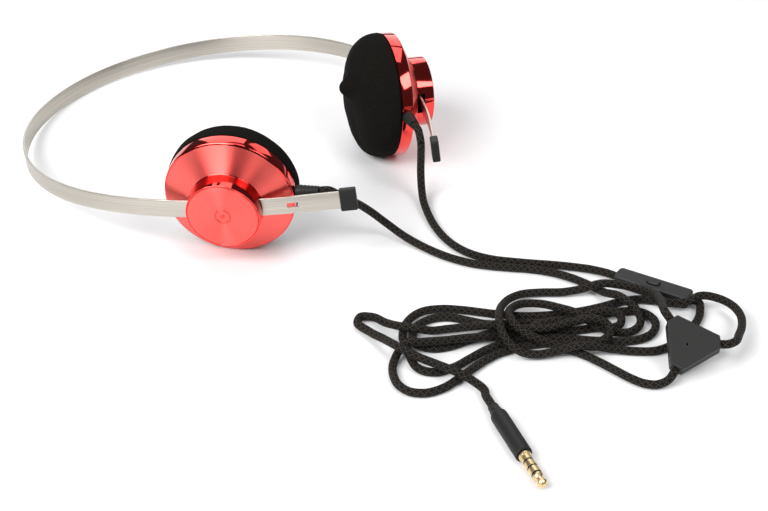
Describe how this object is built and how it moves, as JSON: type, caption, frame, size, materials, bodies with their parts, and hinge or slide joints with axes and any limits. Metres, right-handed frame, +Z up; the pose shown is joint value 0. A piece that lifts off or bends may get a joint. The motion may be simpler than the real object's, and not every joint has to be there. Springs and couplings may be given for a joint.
{
  "type": "on-ear headphones",
  "caption": "On-ear headphones on a thin steel spring band: red turned cups slide and tilt on it, with foam pads and a braided cable carrying a push-button remote, a splitter and a jack plug.",
  "frame": {"origin": "bottom centre of the box around the headphones without the cable, on the table", "axes": "+Z up; +Y from the band's open end to its crown, lying nearly flat; X across, from the left cup at -X to the right cup at +X"},
  "size_m": [0.143, 0.2947, 0.0469],
  "materials": {
    "band_steel": "brushed lengthwise",
    "black_rubber": "matt",
    "red_aluminium": "polished, dyed red",
    "turned_red_aluminium": "turned, dyed red",
    "frame_plastic": "moulded",
    "guide_plastic": "moulded",
    "bright_steel": "bright",
    "plated_magnet": "plated",
    "driver_film": "thin film",
    "pad_foam": "open-cell foam",
    "cord_braid": "woven sleeve",
    "housing_plastic": "fine texture",
    "board_laminate": "printed circuit laminate",
    "gold_plate": "gold plated",
    "ring_plastic": "moulded"
  },
  "bodies": {
    "headband": {"headband": "band_steel", "left_branch": "cord_braid", "left_end_cap": "black_rubber", "main_cord": "cord_braid", "plug_grip": "black_rubber", "plug_insulator": "ring_plastic", "plug_ring_1": "gold_plate", "plug_ring_2": "gold_plate", "plug_sleeve": "gold_plate", "plug_tip": "gold_plate", "remote_board": "board_laminate", "remote_bottom": "housing_plastic", "remote_branch": "cord_braid", "remote_top": "housing_plastic", "right_branch": "cord_braid", "right_end_cap": "black_rubber", "splitter_board": "board_laminate", "splitter_bottom": "housing_plastic", "splitter_microphone": "bright_steel", "splitter_top": "housing_plastic"},
    "slider_left": {"left_band_guide": "guide_plastic", "left_detent_ball": "bright_steel", "left_detent_spring": "bright_steel", "left_detent_screw": "bright_steel"},
    "cup_left": {"left_cup_shell": "red_aluminium", "left_hub_cap": "turned_red_aluminium", "left_ear_pad": "pad_foam", "left_strain_relief": "black_rubber", "left_inner_frame": "frame_plastic", "left_baffle": "frame_plastic", "left_driver_frame": "frame_plastic", "left_driver_yoke": "bright_steel", "left_driver_magnet": "plated_magnet", "left_driver_diaphragm": "driver_film", "left_terminal_board": "board_laminate", "left_screw_1": "bright_steel", "left_screw_2": "bright_steel", "left_screw_3": "bright_steel"},
    "slider_right": {"right_band_guide": "guide_plastic", "right_detent_ball": "bright_steel", "right_detent_spring": "bright_steel", "right_detent_screw": "bright_steel"},
    "cup_right": {"right_cup_shell": "red_aluminium", "right_hub_cap": "turned_red_aluminium", "right_ear_pad": "pad_foam", "right_strain_relief": "black_rubber", "right_inner_frame": "frame_plastic", "right_baffle": "frame_plastic", "right_driver_frame": "frame_plastic", "right_driver_yoke": "bright_steel", "right_driver_magnet": "plated_magnet", "right_driver_diaphragm": "driver_film", "right_terminal_board": "board_laminate", "right_screw_1": "bright_steel", "right_screw_2": "bright_steel", "right_screw_3": "bright_steel"},
    "remote_button": {"remote_button": "housing_plastic"}
  },
  "joints": [
    {"name": "left_slide", "type": "hinge", "parent": "headband", "child": "slider_left", "pos_m": [0.0856, 0.04043, 0.01153], "axis": [-0.018, 0.1478, 0.9889], "range_deg": [-7.6, 8], "deforming": ["left_branch"]},
    {"name": "right_slide", "type": "hinge", "parent": "headband", "child": "slider_right", "pos_m": [-0.0856, 0.03997, 0.00849], "axis": [0.018, -0.1478, -0.9889], "range_deg": [-4, 11.6], "deforming": ["right_branch"]},
    {"name": "left_tilt", "type": "hinge", "parent": "slider_left", "child": "cup_left", "pos_m": [-0.04937, -0.04779, 0.02226], "axis": [0.5496, -0.8247, 0.1332], "range_deg": [-20.4, 1.6], "deforming": ["left_branch"]},
    {"name": "right_tilt", "type": "hinge", "parent": "slider_right", "child": "cup_right", "pos_m": [0.05471, -0.03892, 0.02283], "axis": [-0.4959, -0.8601, 0.1195], "range_deg": [-3.5, 18.5], "deforming": ["right_branch"]},
    {"name": "button_press", "type": "slide", "parent": "headband", "child": "remote_button", "axis": [0, 0, -1], "range_m": [0, 0.00035], "stiffness_N_per_m": 800}
  ]
}
